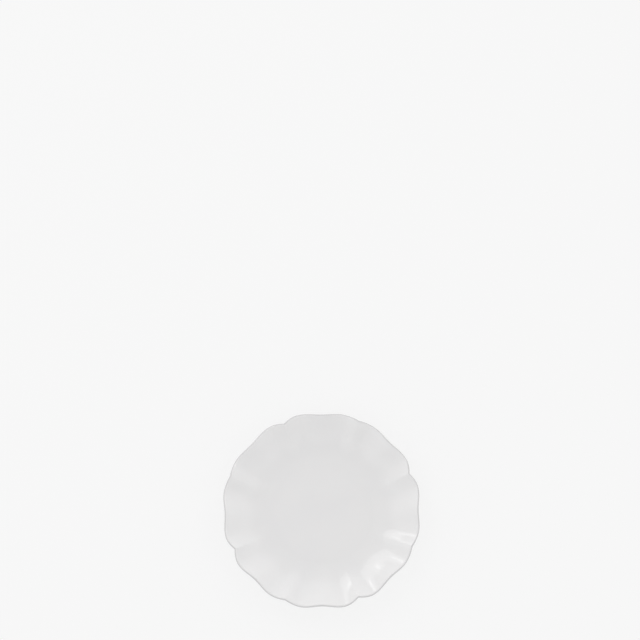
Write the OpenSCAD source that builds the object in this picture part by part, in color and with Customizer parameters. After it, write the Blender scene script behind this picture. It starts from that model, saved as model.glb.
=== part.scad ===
// Bread plate with a fluted petal rim: one fired clay dish on a bare foot ring, under a film of glaze.
// The plate lies on its foot with +Z up, and the origin is the centre of the foot's underside.
// All lengths are in millimetres.

/* [Plate] */
// Width across opposite petals, over the glaze
plate_d = 165; // [150:1:185]
// Height of the rim's highest ridge above the table, over the glaze
plate_h = 20; // [18:0.5:26]
// Width of the flat floor of the well
well_d = 85; // [76:1:90]
// Width of the straight slope that ends the rim, outside the hollow curve that rises from the well
slope_w = 9.7; // [6:0.1:14]
// Thickness of the clay under the well
base_wall = 4.4; // [3.5:0.1:5.5]
// Thickness of the clay in the rim
rim_wall = 2.2; // [1.8:0.1:3.2]
// Thickness of the glaze
glaze_t = 0.3; // [0.2:0.05:0.5]

/* [Petals] */
// Times that the rim's pattern of dip, deep cleft, dip and slight cleft repeats
repeats = 4; // [3:1:6]
// Depth of each soft dip in the rim's outline
soft_dip = 2.2; // [0.5:0.1:3.5]
// Depth of each deep cleft in the rim's outline
deep_cleft = 3.4; // [1:0.1:4.5]
// Depth of each slight cleft in the rim's outline
slight_cleft = 1.3; // [0.3:0.1:2.5]
// Height of the ridges over the hollows of the flutes, at the lip
flute_h = 2; // [0.5:0.1:3]
// Part of the way from a dip to a cleft where the flute's hollow lies
hollow_at = 0.6; // [0.45:0.01:0.7]
// Sharpness of the clefts in the rim's outline: 1 is a plain V, and more is a narrower nick
cleft_power = 1.7; // [1.2:0.1:2.5]

/* [Foot] */
// How far the foot ring stands in from the edge of the well's floor
foot_inset = 3; // [2:0.5:8]
// Thickness of the foot ring where it leaves the base
foot_w = 6; // [4:0.5:8]
// Height of the foot ring
foot_h = 2.6; // [1.5:0.1:3.5]
// How far each wall of the foot ring leans in by the time it reaches the table
foot_taper = 0.5; // [0:0.1:1]
// Width of the sanded bevel along the edges of the foot
foot_bevel = 0.6; // [0.2:0.1:0.8]
// Width of the bare clay between the foot ring and the edge of the glaze
dry_line = 0.8; // [0.3:0.1:1.5]

/* [Hidden] */
$fn = 128;

// Steps of the mesh: from a ridge to a hollow, along the curve and the rim, and along the same two underneath
ridge_steps = 4;
curve_steps = 5;
rim_steps = 2;
under_curve_steps = 3;
under_rim_steps = 2;

// How most ridges grow from the edge of the well to the lip, and how the outline's dips do
ridge_growth = 1.7;
dip_growth = 2;

// The lip is a full round, which sets the section's outer end
lip_r = rim_wall / 2;
clay_r = plate_d / 2 - glaze_t;
lip_x = clay_r - lip_r;
lip_z = plate_h - glaze_t - flute_h - lip_r;

// The floor of the well sets the section's inner end, and the hollow curve takes what the slope leaves
well_r = well_d / 2;
well_z = foot_h + base_wall;
hollow_w = clay_r - slope_w - well_r;

// The rim's straight slope, carried on inwards, meets the floor halfway along the hollow curve
// Outwards it touches the lip from above
rim_run = lip_x - well_r - hollow_w / 2;
rim_rise = lip_z - well_z;
slope = atan2(rim_rise, rim_run) + asin(lip_r / norm([rim_run, rim_rise]));

foot_r = well_r - foot_inset;
foot_sunk = base_wall / 4;
glaze_end_r = foot_r + dry_line;
recess_r = foot_r - foot_w - dry_line;

// Even steps from one value or point to another, both ends included, and the same without the ends
function steps(from, to, count) = [for (i = [0:count]) from + (to - from) * i / count];
function between(from, to, count) = [for (i = [1:count - 1]) from + (to - from) * i / count];

// Points of the section on a circle, at a list of bearings
function arc(x, z, r, bearings) = [for (a = bearings) [x + r * cos(a), z + r * sin(a)]];

// The hollow curve is a parabola from the flat floor to the rim's slope, at a share of its width
function lean(share) = atan(tan(slope) * share);
function over_curve(share) = [well_r + hollow_w * share, well_z + tan(slope) * hollow_w * pow(share, 2) / 2];

// The underside lies through the wall from it, which thins evenly from the base to the rim
function wall(share) = base_wall + (rim_wall - base_wall) * share;
function under_curve(share) = over_curve(share) + wall(share) * [sin(lean(share)), -cos(lean(share))];

// The clay's section through the hollow of a flute: well floor, rim, lip, underside, base
// The lip has points at its top and at its outermost place, so that height and width come out exact
over = [for (share = steps(0, 1, curve_steps)) over_curve(share)];
lip = arc(lip_x, lip_z, lip_r, [90 + slope, 90, 45, 0, (slope - 90) / 2, slope - 90]);
under = [for (share = steps(1, 0, under_curve_steps)) under_curve(share)];
section = concat(
    over,
    between(over[curve_steps], lip[0], rim_steps),
    lip,
    between(lip[len(lip) - 1], under[0], under_rim_steps),
    under
);
// The glaze follows the same section and runs on over the base to its edge
glaze_section = concat(section, [[glaze_end_r, foot_h]]);

// Each repeat has four flutes, each between a soft dip and a cleft, in turn with the dip first and last
flutes = 4 * repeats;
flute_shares = concat(steps(0, hollow_at, ridge_steps), between(hollow_at, 1, ridge_steps), [1]);
flute_steps = 2 * ridge_steps;
around = flutes * flute_steps;

// Where step j lies in its flute: 0 on the dip and 1 on the cleft, with a step in the hollow
function flute(j) = floor(j / flute_steps);
function dip_first(j) = flute(j) % 2 == 0;
function along(j) = flute_shares[dip_first(j) ? j % flute_steps : flute_steps - j % flute_steps];
function bearing(j) = (flute(j) + (dip_first(j) ? along(j) : 1 - along(j))) * 360 / flutes;

// How far up from the hollow step j lies: 1 on the crest of its dip, or 1 on the crest of its cleft
function up_dip(j) = max(0, 1 - along(j) / hollow_at);
function up_cleft(j) = max(0, (along(j) - hollow_at) / (1 - hollow_at));
function is_deep(j) = floor(flute(j) / 2) % 2 == 0;

// The ridges of dips and slight clefts are round, and those of deep clefts have straight flanks
function rounded(share) = (1 - cos(180 * share)) / 2;
function ridge(j) = rounded(up_dip(j)) + (is_deep(j) ? up_cleft(j) : rounded(up_cleft(j)));
function draw_in(j) =
    soft_dip * rounded(up_dip(j)) + (is_deep(j) ? deep_cleft : slight_cleft) * pow(up_cleft(j), cleft_power);

// How far out on the rim a radius lies: 0 at the edge of the well and 1 all over the lip
function reach(r) = max(0, min(1, (r - well_r) / (lip[0][0] - well_r)));

// How far the ridge at step j has risen there: slight clefts rise early and level off, and the others steepen
function risen(t, j) = up_cleft(j) > 0 && !is_deep(j) ? t * t * (3 - 2 * t) : pow(t, ridge_growth);

// A point of the section carried round to step j, drawn in and lifted where a ridge passes
function fluted(p, j) =
    let (
        t = reach(p[0]),
        a = bearing(j),
        r = p[0] - draw_in(j) * pow(t, dip_growth)
    )
    [r * cos(a), r * sin(a), p[1] + flute_h * ridge(j) * risen(t, j)];

// Outward direction of the fluted surface at point i of a section and step j
function outward(line, i, j) =
    i == 0 ? [0, 0, 1] :
    i == len(line) - 1 ? [0, 0, -1] :
    let (
        down = fluted(line[i + 1], j) - fluted(line[i - 1], j),
        round = fluted(line[i], (j + 1) % around) - fluted(line[i], (j + around - 1) % around),
        n = cross(down, round)
    )
    n / norm(n);

// Rings of points for a section, raised off the clay by a thickness
function rings(line, raised) =
    [for (i = [0:len(line) - 1], j = [0:around - 1])
        fluted(line[i], j) + (raised > 0 ? raised * outward(line, i, j) : [0, 0, 0])];

// Triangles between ring i and the next one, facing outwards unless turned inwards
function band(from, to, inwards) =
    [for (j = [0:around - 1], side = [0, 1])
        let (
            k = (j + 1) % around,
            face = side == 0 ? [from + j, from + k, to + j] : [from + k, to + k, to + j]
        )
        inwards ? [face[2], face[1], face[0]] : face];
function bands(count, start, inwards) =
    [for (i = [0:count - 2])
        each band(start + i * around, start + (i + 1) * around, inwards)];

// Flat end of a stack of rings
function cap(start, flipped) =
    [for (j = [0:around - 1]) start + (flipped ? around - 1 - j : j)];

module dish() {
    count = len(section);
    polyhedron(
        points = rings(section, 0),
        faces = concat(
            [cap(0, true)],
            bands(count, 0, false),
            [cap((count - 1) * around, false)]
        )
    );
}

module foot_ring() {
    inner_r = foot_r - foot_w;
    half = [
        [foot_r, foot_h + foot_sunk],
        [foot_r, foot_h],
        [foot_r - foot_taper, foot_bevel],
        [foot_r - foot_taper - foot_bevel, 0],
        [inner_r + foot_taper + foot_bevel, 0],
        [inner_r + foot_taper, foot_bevel],
        [inner_r, foot_h],
        [inner_r, foot_h + foot_sunk]
    ];
    rotate_extrude() polygon(half);
}

module stoneware_body() {
    color("#e6dfd2") union() {
        dish();
        foot_ring();
    }
}

module glaze_coat() {
    count = len(glaze_section);
    inside = count * around;
    color("#f1f0ef") polyhedron(
        points = concat(rings(glaze_section, glaze_t), rings(glaze_section, 0)),
        faces = concat(
            [cap(0, true)],
            bands(count, 0, false),
            band((count - 1) * around, inside + (count - 1) * around, false),
            bands(count, inside, true),
            [cap(inside, false)]
        )
    );
}

module foot_recess_glaze() {
    color("#f1f0ef")
        translate([0, 0, foot_h - glaze_t])
            cylinder(h = glaze_t, r1 = recess_r - glaze_t, r2 = recess_r);
}

stoneware_body();
glaze_coat();
foot_recess_glaze();
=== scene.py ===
import math
import bpy
import numpy as np
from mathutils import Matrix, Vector


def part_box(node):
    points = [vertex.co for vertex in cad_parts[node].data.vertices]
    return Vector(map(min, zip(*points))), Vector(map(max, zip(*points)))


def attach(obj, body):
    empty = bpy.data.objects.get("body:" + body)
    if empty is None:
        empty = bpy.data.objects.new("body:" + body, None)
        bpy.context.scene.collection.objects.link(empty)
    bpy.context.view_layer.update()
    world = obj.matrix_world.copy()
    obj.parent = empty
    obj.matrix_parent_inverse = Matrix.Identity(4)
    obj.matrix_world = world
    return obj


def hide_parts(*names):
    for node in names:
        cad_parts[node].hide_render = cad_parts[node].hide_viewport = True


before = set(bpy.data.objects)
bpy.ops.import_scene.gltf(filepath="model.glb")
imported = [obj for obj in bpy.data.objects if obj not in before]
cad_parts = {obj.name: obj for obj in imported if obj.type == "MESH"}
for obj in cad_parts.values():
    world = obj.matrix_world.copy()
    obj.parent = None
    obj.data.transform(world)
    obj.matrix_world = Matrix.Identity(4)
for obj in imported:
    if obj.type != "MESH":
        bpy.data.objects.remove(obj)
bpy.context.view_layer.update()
scene = bpy.context.scene


# Clay body
# The plate is one piece of fine white stoneware, pressed in a fluted mould and fired hard.
# Only its foot ring stays bare: it is wiped clean before the firing and sanded flat after it.

# Lengths are in metres and bearings around the plate in degrees, from +X through +Y.
PETAL_SPAN = 0.165
WELL_R = 0.0425
SLOPE_W = 0.0097
BASE_WALL = 0.0044
RIM_WALL = 0.0022

# The rim's pattern is soft dip, deep cleft, soft dip and slight cleft, with a flute between every two.
RIM_PATTERN_REPEATS = 4
SOFT_DIP = 0.0022
DEEP_CLEFT = 0.0034
SLIGHT_CLEFT = 0.0013
FLUTE_H = 0.002
HOLLOW_AT = 0.6
CLEFT_POWER = 1.7
CLEFT_CROWDING = 1.6
FOLD_ROUNDING = 0.03
RIDGE_GROWTH = 1.7
DIP_GROWTH = 2.0
PATTERN_DRIFT = 2.6

# A wave around the plate is given as its height, its count around and its start in radians.
KILN_WARP = ((0.00012, 2, 0.7708), (0.00008, 3, 3.5708))

# The foot's edges are sanded round at the table, and its roots are round at the base.
FOOT_R = 0.0395
FOOT_W = 0.006
FOOT_TAPER = 0.0005
FOOT_EDGE = 0.0009
FOOT_ROOT = 0.0007

# The radius inside which the mesh closes with a fan.
CLAY_POLE_R = 0.004

CLAY_PALE = (0.70, 0.655, 0.585, 1)
CLAY_BLUSH = (0.635, 0.565, 0.475, 1)
RUBBED_GREY = (0.45, 0.43, 0.40, 1)

recess_low, recess_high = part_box("foot_recess_glaze")
foot_h = recess_high[2]
glaze_t = foot_h - recess_low[2]
recess_r = recess_high[0]
plate_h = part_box("glaze_coat")[1][2]

lip_r = RIM_WALL / 2
lip_x = PETAL_SPAN / 2 - glaze_t - lip_r
lip_z = plate_h - glaze_t - FLUTE_H - lip_r
well_z = foot_h + BASE_WALL
hollow_w = PETAL_SPAN / 2 - glaze_t - SLOPE_W - WELL_R

# The rim's slope carries on from the end of the well's hollow curve and touches the round lip from above.
rim_run = lip_x - WELL_R - hollow_w / 2
rim_rise = lip_z - well_z
slope = math.atan2(rim_rise, rim_run) + math.asin(lip_r / math.hypot(rim_run, rim_rise))
slope_deg = math.degrees(slope)
rim_start = lip_x - lip_r * math.sin(slope)

foot_in = FOOT_R - FOOT_W
foot_low = FOOT_R - FOOT_TAPER
foot_low_in = foot_in + FOOT_TAPER


def arc(x, z, radius, start, stop, count):
    """Points on a circle in the section, at even bearings from start to stop, both included."""
    bearing = np.radians(np.linspace(start, stop, count))
    return np.stack([x + radius * np.cos(bearing), z + radius * np.sin(bearing)], axis=1)


def hollow(count, wall_share):
    """The hollow curve from the floor of the well to the rim, as a parabola that ends at the rim's slope.
    With a wall share of 1 it is moved through the wall, which thins from base to rim, onto the underside."""
    share = np.linspace(0, 1, count)
    lean = np.arctan(math.tan(slope) * share)
    wall = wall_share * (BASE_WALL + (RIM_WALL - BASE_WALL) * share)
    x = WELL_R + hollow_w * share + wall * np.sin(lean)
    z = well_z + math.tan(slope) * hollow_w * share ** 2 / 2 - wall * np.cos(lean)
    return np.stack([x, z], axis=1)


def straight(start, stop, steps):
    """Points on a straight run in the section, in even steps from start to stop, both included."""
    return np.linspace(start, stop, steps + 1)


def joined(*runs):
    """Section runs set end to end, with the point that two runs share kept once."""
    return np.concatenate([runs[0]] + [run[1:] for run in runs[1:]])


def dish_section(floor_start, floor_steps, curve_steps, rim_steps, lip_steps):
    """The plate's section through a hollow: floor of the well, hollow curve, rim, lip, and back under."""
    over = hollow(curve_steps, 0)
    under = hollow(curve_steps, 1)[::-1]
    lip = arc(lip_x, lip_z, lip_r, 90 + slope_deg, slope_deg - 90, lip_steps)
    return joined(
        straight((floor_start, well_z), over[0], floor_steps),
        over,
        straight(over[-1], lip[0], rim_steps),
        lip,
        straight(lip[-1], under[0], rim_steps),
        under,
    )


def flute_bearings(dip_steps, cleft_steps):
    """Bearings around the rim: even steps on each dip's flank, and finer ones towards each cleft."""
    dip_flank = HOLLOW_AT * np.linspace(0, 1, dip_steps + 1)
    crowded = 1 - np.linspace(1, 0, cleft_steps + 1) ** CLEFT_CROWDING
    cleft_flank = HOLLOW_AT + (1 - HOLLOW_AT) * crowded
    flute = np.concatenate([dip_flank, cleft_flank[1:]])
    pair = np.concatenate([flute[:-1], 2 - flute[:0:-1]])
    pairs = 2 * RIM_PATTERN_REPEATS
    return 180 / pairs * np.concatenate([pair + 2 * k for k in range(pairs)])


def raised_cosine(share):
    """A smooth rise from 0 to 1, level at both ends."""
    return 0.5 - 0.5 * np.cos(np.pi * share)


def fold(share):
    """A straight flank from 0 to 1 with both its ends rounded."""
    full = math.hypot(1, FOLD_ROUNDING) - FOLD_ROUNDING
    share = 1 - (np.hypot(1 - share, FOLD_ROUNDING) - FOLD_ROUNDING) / full
    return (np.hypot(share, FOLD_ROUNDING) - FOLD_ROUNDING) / full


def ridge_parts(bearing):
    """How high each bearing lies on a ridge, from 0 in a hollow to 1 on a crest, how far it is drawn in, and
    whether it lies on a slight cleft. The ridges of dips and slight clefts are raised cosines, and those of
    deep clefts have straight flanks."""
    turn = bearing / (90 / RIM_PATTERN_REPEATS)
    along = 1 - np.abs(turn % 2 - 1)
    deep = np.floor(turn / 2) % 2 == 0
    dip = raised_cosine(np.clip(1 - along / HOLLOW_AT, 0, 1))
    flank = fold(np.clip((along - HOLLOW_AT) / (1 - HOLLOW_AT), 0, 1))
    ridge = dip + np.where(deep, flank, raised_cosine(flank))
    drawn_in = SOFT_DIP * dip + np.where(deep, DEEP_CLEFT, SLIGHT_CLEFT) * flank ** CLEFT_POWER
    return ridge, drawn_in, ~deep & (along > HOLLOW_AT)


def reach(radius):
    """How far out on the rim a radius lies: 0 at the edge of the well and 1 all over the lip."""
    return np.clip((radius - WELL_R) / (rim_start - WELL_R), 0, 1)


def drifted(bearing):
    """The angle at which a bearing of the even pattern lies on the plate. The mould's flutes were laid out by
    eye, and towards -X they stand further round, by a share that is a raised cosine to the third power."""
    share = raised_cosine(bearing / 180) ** 3
    return np.radians(bearing + PATTERN_DRIFT * share)


def waves(angle, terms):
    """A slow wander around the plate: the sum of sine waves, each with its height, count and start."""
    return sum(height * np.sin(count * angle + start) for height, count, start in terms)


def ringed(radius, height, angle):
    """Rings of points around the plate, from the radius and the height of each ring at each angle."""
    x, y = radius * np.cos(angle), radius * np.sin(angle)
    return np.stack(np.broadcast_arrays(x, y, height), axis=2)


def fluted(section, bearing):
    """The section carried round every bearing. A ridge lifts the rim and draws it in, more towards the lip:
    on a slight cleft it rises early and levels off, and elsewhere it steepens. The kiln's slow warp, two
    waves around the plate, tips the lip up and down by a hair."""
    radius, height = section[:, :1], section[:, 1:]
    out = reach(radius)
    ridge, drawn_in, on_slight_cleft = ridge_parts(bearing)
    risen = np.where(on_slight_cleft, out ** 2 * (3 - 2 * out), out ** RIDGE_GROWTH)
    angle = drifted(bearing)
    drawn = radius - drawn_in * out ** DIP_GROWTH
    lifted = height + FLUTE_H * ridge * risen + waves(angle, KILN_WARP) * out ** 2
    return ringed(drawn, lifted, angle)


def skin(name, rings):
    """A closed mesh through a stack of rings. The middles of the first and the last ring are its poles."""
    count, around = rings.shape[:2]
    poles = rings[[0, -1]].mean(axis=1)
    points = np.concatenate([rings.reshape(-1, 3), poles])
    here = np.arange(around)
    after = np.roll(here, -1)
    start = around * np.arange(count - 1)[:, None]
    quads = [start + here, start + here + around, start + after + around, start + after]
    quads = np.stack(quads, axis=2).reshape(-1, 4)
    last = around * (count - 1)
    first_fan = np.stack([np.full(around, count * around), here, after], axis=1)
    last_fan = np.stack([np.full(around, count * around + 1), last + after, last + here], axis=1)
    mesh = bpy.data.meshes.new(name)
    mesh.from_pydata(points.tolist(), [], quads.tolist() + first_fan.tolist() + last_fan.tolist())
    mesh.shade_smooth()
    piece = bpy.data.objects.new(name, mesh)
    scene.collection.objects.link(piece)
    return piece


class Wire:
    """One output of a node tree. Sums, differences and products of wires and numbers add Math nodes."""

    def __init__(self, tree, socket=None):
        self.tree = tree
        self.socket = socket

    def node(self, kind, settings, inputs, output=0):
        """Adds a node, sets it up, and then fills its sockets with numbers, colours or wires."""
        made = self.tree.nodes.new(kind)
        for name, value in settings.items():
            setattr(made, name, value)
        for key, value in inputs.items():
            if isinstance(value, Wire):
                self.tree.links.new(value.socket, made.inputs[key])
            else:
                made.inputs[key].default_value = value
        return Wire(self.tree, made.outputs[output] if made.outputs else None)

    def maths(self, operation, first, second):
        """One Math node on two wires or numbers."""
        return self.node("ShaderNodeMath", {"operation": operation}, {0: first, 1: second})

    def __add__(self, other):
        return self.maths("ADD", self, other)

    def __mul__(self, other):
        return self.maths("MULTIPLY", self, other)

    def __sub__(self, other):
        return self.maths("SUBTRACT", self, other)

    __radd__ = __add__
    __rmul__ = __mul__

    def step(self, low, high):
        """0 below low and 1 above high, with a smooth rise between them."""
        settings = {"interpolation_type": "SMOOTHSTEP"}
        return self.node("ShaderNodeMapRange", settings, {"Value": self, "From Min": low, "From Max": high})

    def mix(self, none, full):
        """A colour that goes from none to full as this wire goes from 0 to 1. The node's sockets for colours
        share their names with others, so they go by number."""
        settings = {"data_type": "RGBA"}
        return self.node("ShaderNodeMix", settings, {"Factor": self, 6: none, 7: full}, output=2)


def start_material(name):
    """An empty material and a wire to build its nodes from."""
    material = bpy.data.materials.new(name)
    material.use_nodes = True
    material.node_tree.nodes.clear()
    return material, Wire(material.node_tree)


def close_material(shader):
    """Ends a material's nodes in its surface."""
    shader.node("ShaderNodeOutputMaterial", {}, {"Surface": shader})


def noise(place, scale, detail, roughness=0.5):
    """Soft cloudy noise over a place, around one half."""
    settings = {"noise_dimensions": "3D"}
    inputs = {"Vector": place, "Scale": scale, "Detail": detail, "Roughness": roughness}
    return place.node("ShaderNodeTexNoise", settings, inputs)


def bare_clay():
    """Matt off-white fired clay: fine grain, faint turning rings, a warm blush and grey rubs on the foot."""
    material, wire = start_material("bare_clay")
    place = wire.node("ShaderNodeTexCoord", {}, {}, output="Object")
    cloud = noise(place, scale=90, detail=3)
    grain = noise(place, scale=1800, detail=2, roughness=0.7)
    scuffs = noise(place, scale=420, detail=4, roughness=0.65)
    turning_rings = wire.node(
        "ShaderNodeTexWave",
        {"wave_type": "RINGS", "rings_direction": "Z"},
        {"Vector": place, "Scale": 700, "Distortion": 1.5, "Detail": 1},
    )
    blush = cloud.step(0.42, 0.68).mix(CLAY_PALE, CLAY_BLUSH)
    rubbed = scuffs.step(0.60, 0.74) * 0.35
    colour = rubbed.mix(blush, RUBBED_GREY)
    relief = grain * 0.7 + turning_rings * 0.3
    bump = wire.node("ShaderNodeBump", {}, {"Strength": 0.25, "Distance": 0.0001, "Height": relief})
    inputs = {"Base Color": colour, "Roughness": 0.66 + 0.2 * grain, "Normal": bump}
    close_material(wire.node("ShaderNodeBsdfPrincipled", {}, inputs))
    return material


clay_section = joined(
    dish_section(floor_start=CLAY_POLE_R, floor_steps=8, curve_steps=9, rim_steps=10, lip_steps=12),
    straight((WELL_R, foot_h), (FOOT_R + FOOT_ROOT, foot_h), 4),
    arc(FOOT_R + FOOT_ROOT, foot_h - FOOT_ROOT, FOOT_ROOT, 90, 180, 6),
    straight((FOOT_R, foot_h - FOOT_ROOT), (foot_low, FOOT_EDGE), 3),
    arc(foot_low - FOOT_EDGE, FOOT_EDGE, FOOT_EDGE, 0, -90, 8),
    straight((foot_low - FOOT_EDGE, 0), (foot_low_in + FOOT_EDGE, 0), 6),
    arc(foot_low_in + FOOT_EDGE, FOOT_EDGE, FOOT_EDGE, 270, 180, 8),
    straight((foot_low_in, FOOT_EDGE), (foot_in, foot_h - FOOT_ROOT), 3),
    arc(foot_in - FOOT_ROOT, foot_h - FOOT_ROOT, FOOT_ROOT, 0, 90, 6),
    straight((foot_in - FOOT_ROOT, foot_h), (CLAY_POLE_R, foot_h), 8),
)
clay_body = skin("clay_body", fluted(clay_section, flute_bearings(dip_steps=8, cleft_steps=8)))
clay_body.data.materials.append(bare_clay())
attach(clay_body, "root")
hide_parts("stoneware_body")


# Poured glaze
# A film of white glass, poured on raw and melted in the kiln, covers the face, the lip and the underside.
# It runs thin over the lip and the ridges, gathers in the bend of the well, and ends in a soft bead
# by the foot.

GLAZE_WHITE = (0.784, 0.779, 0.782, 1)
GLAZE_CLOUD = (0.794, 0.788, 0.788, 1)
# Painted shade: the grey of the lip's outer edge, where the lip rounds over and turns away from the light.
LIP_SHADE_GREY = (0.620, 0.616, 0.617, 1)
GLAZE_POLE_R = 0.002

# Shares of the usual thickness that are missing or added, and where. The missing share also lays the painted
# shade on the lip.
LIP_THINNING = 0.4
LIP_BAND = 0.5
# Painted shade: how far the lip's thin band, and the grey laid on it, reaches further in towards +Y.
FAR_SIDE_SHADE_BAND = 0.7
RIDGE_THINNING = 0.15
BEND_GATHERING = 0.25
BEND_OUT = 0.008
BEND_SPREAD = 0.008
ROUNDING_ROOM = 1e-6

# The even film stops short of its edge, and a bead takes over there.
DRY_LINE = 0.0008
FILM_STOP = 0.0018
EDGE_W = 0.0012
EDGE_STEPS = 8
EDGE_FULLNESS = 0.8
BEAD_SWELL = 1.15
EDGE_WANDER = ((0.0002, 5, 0.4), (0.00015, 11, 1.9))
SEAT_STRIDE = 6


def film_share(section, bearing):
    """How thick the glaze lies, as a share of its usual thickness: less on the lip and on the ridges, and
    more in the bend of the well, where it gathered on the face. Towards +Y, where more light falls on the
    lip, the thin band on the lip starts further in, which widens the painted shade there."""
    radius, height = section[:, :1], section[:, 1:]
    ridge, _, _ = ridge_parts(bearing)
    # Painted shade: towards +Y, where the light falls brighter on the lip, its grey band is widened.
    far_side_shade = 0.5 + 0.5 * np.sin(np.radians(bearing))
    on_lip = np.clip((radius - lip_x) / (LIP_BAND * lip_r) + FAR_SIDE_SHADE_BAND * far_side_shade, 0, 1)
    in_bend = np.exp(-(((radius - WELL_R - BEND_OUT) / BEND_SPREAD) ** 2))
    gathered = in_bend * (height > well_z - ROUNDING_ROOM)
    return 1 - LIP_THINNING * on_lip - RIDGE_THINNING * ridge * reach(radius) + BEND_GATHERING * gathered


def outward(rings):
    """Unit normals of a stack of rings, from the differences to the neighbours on both sides."""
    down = np.gradient(rings, axis=0)
    round_it = np.roll(rings, -1, axis=1) - np.roll(rings, 1, axis=1)
    normal = np.cross(down, round_it)
    return normal / np.linalg.norm(normal, axis=2, keepdims=True)


def rolled_edge(edge_r, width, thickness, angle):
    """Rings that roll a film under the base from its thickness up to the clay at its edge: a quarter of an
    oval, a little fuller than round. A width below 0 is for a film that lies inside its edge."""
    roll = np.radians(np.linspace(0, 90, EDGE_STEPS))[:, None]
    radius = edge_r + width * (1 - np.sin(roll))
    return ringed(radius, foot_h - thickness * np.cos(roll) ** EDGE_FULLNESS, angle)


def white_glaze():
    """Glossy white glass: cloudy by a hair, grey with painted shade on the lip where the film is thin, with a
    faint orange-peel surface.
    """
    material, wire = start_material("white_glaze")
    place = wire.node("ShaderNodeTexCoord", {}, {}, output="Object")
    lip_shade_mask = wire.node("ShaderNodeAttribute", {"attribute_name": "thin"}, {}, output="Fac")
    cloud = noise(place, scale=35, detail=2)
    peel = noise(place, scale=260, detail=2)
    white = cloud.step(0.3, 0.7).mix(GLAZE_WHITE, GLAZE_CLOUD)
    # Painted shade: where the film lacks most, on the lip's outer edge, the white turns grey.
    colour = lip_shade_mask.step(0.22, 0.42).mix(white, LIP_SHADE_GREY)
    bump = wire.node("ShaderNodeBump", {}, {"Strength": 0.04, "Distance": 0.0002, "Height": peel})
    inputs = {"Base Color": colour, "Roughness": 0.03 + 0.03 * cloud, "IOR": 1.52, "Normal": bump}
    close_material(wire.node("ShaderNodeBsdfPrincipled", {}, inputs))
    return material


glaze_section = joined(
    dish_section(floor_start=GLAZE_POLE_R, floor_steps=22, curve_steps=22, rim_steps=30, lip_steps=24),
    straight((WELL_R, foot_h), (FOOT_R + DRY_LINE + FILM_STOP, foot_h), 2),
)
glaze_bearing = flute_bearings(dip_steps=12, cleft_steps=16)
clay_face = fluted(glaze_section, glaze_bearing)
share = film_share(glaze_section, glaze_bearing)
glaze_face = clay_face + glaze_t * share[:, :, None] * outward(clay_face)

# The edge of the glaze wanders a little around the foot.
edge_angle = drifted(glaze_bearing)
edge_r = FOOT_R + DRY_LINE + waves(edge_angle, EDGE_WANDER)
bead = rolled_edge(edge_r, EDGE_W, BEAD_SWELL * glaze_t, edge_angle)

# The side of the film that is bonded to the clay isn't seen, so it has fewer rings.
seat = clay_face[::-SEAT_STRIDE]
poured_glaze = skin("poured_glaze", np.concatenate([glaze_face, bead, seat]))

# Each point keeps how much of the usual thickness it lacks, which lays the painted shade on the lip, and the
# two poles lack none.
face_thin = np.clip(1 - share, 0, 1)
bead_thin = np.repeat(face_thin[-1:], EDGE_STEPS, axis=0)
thin = np.concatenate([face_thin, bead_thin, face_thin[::-SEAT_STRIDE]])
thin_and_shade_layer = poured_glaze.data.attributes.new("thin", "FLOAT", "POINT")
thin_and_shade_layer.data.foreach_set("value", np.concatenate([thin.ravel(), [0, 0]]))

glaze = white_glaze()
poured_glaze.data.materials.append(glaze)
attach(poured_glaze, "root")
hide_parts("glaze_coat")


# Recess glaze
# A second, separate film lies on the flat base inside the foot ring, which was wiped bare around it.
# Its edge wanders by a hair, where the sponge went round.

RECESS_STEPS_AROUND = 256
RECESS_STEPS_OUT = 14
RECESS_POLE_SHARE = 0.03
RECESS_EDGE_SHARE = 0.97
RECESS_INSET = 0.00028
RECESS_WANDER = ((0.00018, 4, 1.0), (0.0001, 9, 0.0))

film_angle = np.radians(np.linspace(0, 360, RECESS_STEPS_AROUND, endpoint=False))
film_edge = recess_r - RECESS_INSET - waves(film_angle, RECESS_WANDER)
over_share = np.linspace(RECESS_POLE_SHARE, 1, RECESS_STEPS_OUT)[:, None]
under_share = np.linspace(RECESS_EDGE_SHARE, RECESS_POLE_SHARE, RECESS_STEPS_OUT)[:, None]
film_over = ringed(film_edge * over_share, foot_h, film_angle)
film_roll = rolled_edge(film_edge, -EDGE_W, glaze_t, film_angle)[::-1]
film_under = ringed((film_edge - EDGE_W) * under_share, foot_h - glaze_t, film_angle)
recess_glaze = skin("recess_glaze", np.concatenate([film_over, film_roll[1:], film_under]))
recess_glaze.data.materials.append(glaze)
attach(recess_glaze, "root")
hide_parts("foot_recess_glaze")


# Floor
# A plain pale sheet under the plate, flat and matt, which runs far past the view.
# It keeps the plate's soft shadow.

FLOOR_HALF = 4.0
FLOOR_PALE = (0.937, 0.937, 0.937, 1)
FLOOR_MATT = (0.90, 0.90, 0.90, 1)
FLOOR_SHOWN = 0.88
OPEN_AIR = 0.014


def seen_directly(wire):
    """1 for what the camera sees itself, in gloss or through glass, and 0 for light that falls on things."""
    kinds = ("Is Camera Ray", "Is Glossy Ray", "Is Transmission Ray")
    camera_ray, glossy_ray, through = (wire.node("ShaderNodeLightPath", {}, {}, output=k) for k in kinds)
    return wire.maths("MINIMUM", camera_ray + glossy_ray + through, 1.0)


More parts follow.
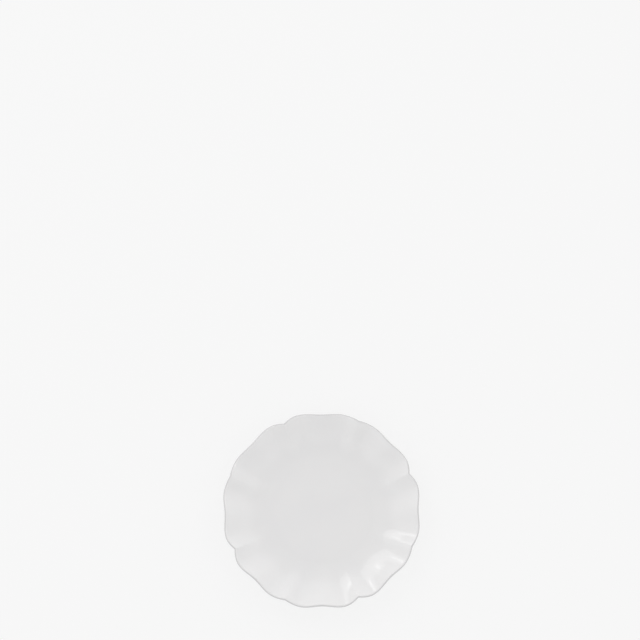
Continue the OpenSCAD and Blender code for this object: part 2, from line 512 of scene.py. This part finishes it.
def pale_floor():
    """Pale matt sheet, shown in part at its own brightness, so that the shadow around the plate stays light.
    Close under the plate, where the air above isn't open, only the light that reaches it shows."""
    material, wire = start_material("pale_floor")
    matt = wire.node("ShaderNodeBsdfDiffuse", {}, {"Color": FLOOR_MATT})
    bright = wire.node("ShaderNodeEmission", {}, {"Color": FLOOR_PALE, "Strength": 1.0})
    open_air = wire.node("ShaderNodeAmbientOcclusion", {}, {"Distance": OPEN_AIR}, output="AO")
    shown = seen_directly(wire) * open_air * FLOOR_SHOWN
    close_material(wire.node("ShaderNodeMixShader", {}, {0: shown, 1: matt, 2: bright}))
    return material


floor_mesh = bpy.data.meshes.new("floor")
corners = [(-1, -1), (1, -1), (1, 1), (-1, 1)]
floor_mesh.from_pydata([(x * FLOOR_HALF, y * FLOOR_HALF, 0) for x, y in corners], [], [(0, 1, 2, 3)])
floor_mesh.materials.append(pale_floor())
floor = bpy.data.objects.new("floor", floor_mesh)
scene.collection.objects.link(floor)


# Studio light
# A wide soft dome, dim overhead around the camera and brighter on the far side.
# A large softbox with a bright middle hangs in it on the far left.

CAMERA_LEAN = 9.6
DOME_SIDE = 1.125
DOME_RIGHT = -0.02
DOME_FAR = 0.207
OVERHEAD_DROP = 0.715
SPOT_DROP = 0.25

# Cosines of the angles where the two dim parts of the dome begin and where they are full.
OVERHEAD_SPREAD = (0.765, 0.977)
SPOT_SPREAD = (0.99987, 1.0)


def aimed(bearing, elevation):
    """The unit vector towards a bearing and an elevation, both in degrees."""
    turn, up = math.radians(bearing), math.radians(elevation)
    return Vector((math.cos(up) * math.cos(turn), math.cos(up) * math.sin(turn), math.sin(up)))


# The level well mirrors the overhead part to the camera, and the middle of the well the dim spot in it.
OVERHEAD = aimed(90, 90 - CAMERA_LEAN)
DIM_SPOT = aimed(89.19, 80.22)

world = bpy.data.worlds.new("studio")
world.use_nodes = True
world.node_tree.nodes.clear()
scene.world = world
sky = Wire(world.node_tree)
direction = sky.node("ShaderNodeTexCoord", {}, {}, output="Generated")
right = sky.node("ShaderNodeSeparateXYZ", {}, {0: direction}, output="X")
far = sky.node("ShaderNodeSeparateXYZ", {}, {0: direction}, output="Y")


def nearness(towards):
    """Cosine of the angle between a direction of the sky and the given one."""
    settings = {"operation": "DOT_PRODUCT"}
    return sky.node("ShaderNodeVectorMath", settings, {0: direction, 1: towards}, output="Value")


level = DOME_SIDE + DOME_RIGHT * right + DOME_FAR * far
level = level - OVERHEAD_DROP * nearness(OVERHEAD).step(*OVERHEAD_SPREAD)
level = level - SPOT_DROP * nearness(DIM_SPOT).step(*SPOT_SPREAD)
grey = sky.node("ShaderNodeCombineColor", {}, {0: level, 1: level, 2: level})
background = sky.node("ShaderNodeBackground", {}, {"Color": grey, "Strength": 1.0})
sky.node("ShaderNodeOutputWorld", {}, {"Surface": background})


def softbox(name, towards, distance, width, height, radiance):
    """A flat lamp that faces the plate from a direction, of a given size and brightness."""
    lamp = bpy.data.lights.new(name, "AREA")
    lamp.shape = "RECTANGLE"
    lamp.size = width
    lamp.size_y = height
    lamp.energy = radiance * math.pi * width * height
    holder = bpy.data.objects.new(name, lamp)
    holder.location = towards * distance
    holder.rotation_euler = towards.to_track_quat("Z", "Y").to_euler()
    scene.collection.objects.link(holder)


softbox("large_softbox", aimed(127.3, 44.0), distance=1.30, width=0.42, height=0.68, radiance=0.85)
softbox("softbox_middle", aimed(126.43, 38.46), distance=1.27, width=0.20, height=0.28, radiance=0.40)
softbox("softbox_core", aimed(127.08, 36.6), distance=1.25, width=0.09, height=0.20, radiance=1.3)


# Camera
# A long lens well above the plate, leaning a little to the near side, with the plate low in the frame.
# The plate's place and width in the picture set the camera's place.

LENS = 140.0
SENSOR = 36.0
CLIP_END = 50.0
FRAME_PX = 640.0
PLATE_CENTRE_PX = (321.6, 511.9)
PETAL_TIP_PX = 99.4

focal_px = LENS / SENSOR * FRAME_PX
below = math.atan((PLATE_CENTRE_PX[1] - FRAME_PX / 2) / focal_px)
depth = focal_px * (PETAL_SPAN / 2) / PETAL_TIP_PX
sideways = (PLATE_CENTRE_PX[0] - FRAME_PX / 2) * depth / focal_px
to_plate = aimed(90, CAMERA_LEAN - 90)
upwards = aimed(90, CAMERA_LEAN)

camera_data = bpy.data.cameras.new("camera")
camera_data.lens = LENS
camera_data.sensor_width = SENSOR
camera_data.clip_end = CLIP_END
camera = bpy.data.objects.new("camera", camera_data)
camera.location = Vector((-sideways, 0, well_z)) - to_plate * (depth / math.cos(below))
aim = to_plate * math.cos(below) + upwards * math.sin(below)
camera.rotation_euler = aim.to_track_quat("-Z", "Y").to_euler()
scene.collection.objects.link(camera)
scene.camera = camera
scene.view_settings.view_transform = "Standard"
